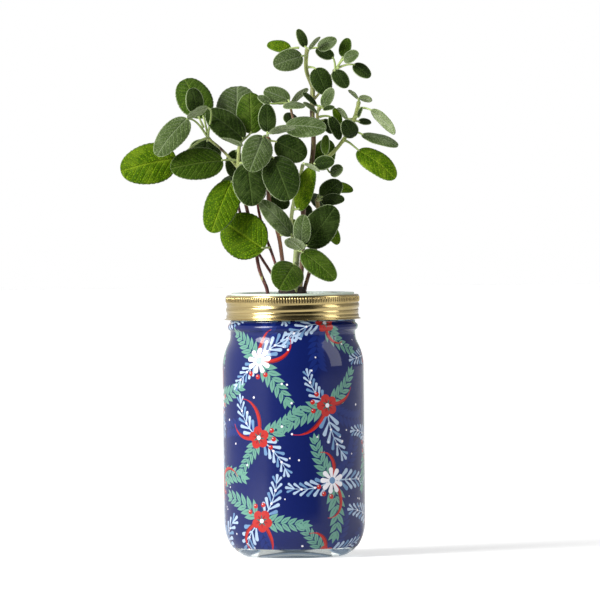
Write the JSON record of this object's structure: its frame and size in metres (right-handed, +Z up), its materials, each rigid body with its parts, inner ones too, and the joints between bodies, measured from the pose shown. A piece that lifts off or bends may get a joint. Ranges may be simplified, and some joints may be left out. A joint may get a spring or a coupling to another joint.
{
  "type": "hydroponic jar planter",
  "caption": "Glass preserving jar in a printed sleeve, with a screw band over a gasket, a net pot hung in the mouth, and a leafy sage plant.",
  "frame": {"origin": "centre of the ring that the jar rests on", "axes": "+Z up along the jar's axis, +X to the right and -Y to the front, as in the picture"},
  "size_m": [0.1882, 0.0958, 0.3578],
  "materials": {
    "glass": "clear",
    "sleeve_film": "glossy printed film",
    "gasket_rubber": "matte",
    "band_steel": "gold lacquer",
    "pot_plastic": "satin",
    "coir": "coarse fibre",
    "plug_coir": "coarse fibre",
    "wick_fibre": "felted",
    "stem_green": "satin",
    "stem_red": "satin",
    "petiole": "satin",
    "leaf_bright": "pebbled",
    "leaf_green": "pebbled",
    "leaf_dark": "pebbled",
    "leaf_grey": "downy"
  },
  "bodies": {
    "jar": {"glass_jar": "glass", "printed_sleeve": "sleeve_film"},
    "seal": {"sealing_gasket": "gasket_rubber"},
    "band": {"screw_band": "band_steel"},
    "pot": {"net_pot": "pot_plastic", "growing_medium": "coir", "seed_plug": "plug_coir", "wick": "wick_fibre", "front_stem": "stem_green", "left_stem": "stem_green", "low_stem": "stem_green", "main_stem": "stem_green", "middle_stem": "stem_green", "rear_stem": "stem_green", "reddish_stem": "stem_red", "front_petioles": "petiole", "left_petioles": "petiole", "low_petioles": "petiole", "main_petioles": "petiole", "middle_petioles": "petiole", "rear_petioles": "petiole", "reddish_petioles": "petiole", "behind_dark_leaves": "leaf_dark", "behind_grey_leaves": "leaf_grey", "crest_dark_leaves": "leaf_dark", "crest_green_leaves": "leaf_green", "crest_grey_leaves": "leaf_grey", "far_left_bright_leaves": "leaf_bright", "far_left_dark_leaves": "leaf_dark", "far_left_green_leaves": "leaf_green", "far_left_grey_leaves": "leaf_grey", "front_dark_leaves": "leaf_dark", "front_green_leaves": "leaf_green", "front_grey_leaves": "leaf_grey", "front_side_bright_leaves": "leaf_bright", "front_side_grey_leaves": "leaf_grey", "inner_dark_leaves": "leaf_dark", "inner_grey_leaves": "leaf_grey", "left_bright_leaves": "leaf_bright", "left_dark_leaves": "leaf_dark", "left_green_leaves": "leaf_green", "left_grey_leaves": "leaf_grey", "low_dark_leaves": "leaf_dark", "main_dark_leaves": "leaf_dark", "middle_dark_leaves": "leaf_dark", "middle_green_leaves": "leaf_green", "middle_grey_leaves": "leaf_grey", "rear_bright_leaves": "leaf_bright", "rear_dark_leaves": "leaf_dark", "reddish_bright_leaves": "leaf_bright", "reddish_green_leaves": "leaf_green", "right_bright_leaves": "leaf_bright", "right_dark_leaves": "leaf_dark", "right_green_leaves": "leaf_green", "right_grey_leaves": "leaf_grey", "top_bright_leaves": "leaf_bright", "top_dark_leaves": "leaf_dark", "top_grey_leaves": "leaf_grey"}
  },
  "joints": [
    {"name": "lid_rise", "type": "slide", "parent": "jar", "child": "seal", "axis": [0, 0, 1], "range_m": [0, 0.0064]},
    {"name": "band_turn", "type": "hinge", "parent": "seal", "child": "band", "pos_m": [0, 0, 0], "axis": [0, 0, 1], "range_deg": [0, 450]},
    {"name": "pot_lift", "type": "slide", "parent": "seal", "child": "pot", "axis": [0, 0, 1], "range_m": [0, 0.17]}
  ],
  "couplings": [
    {"joint": "lid_rise", "follows": "band_turn", "m_per_rad": 0.00080851}
  ]
}
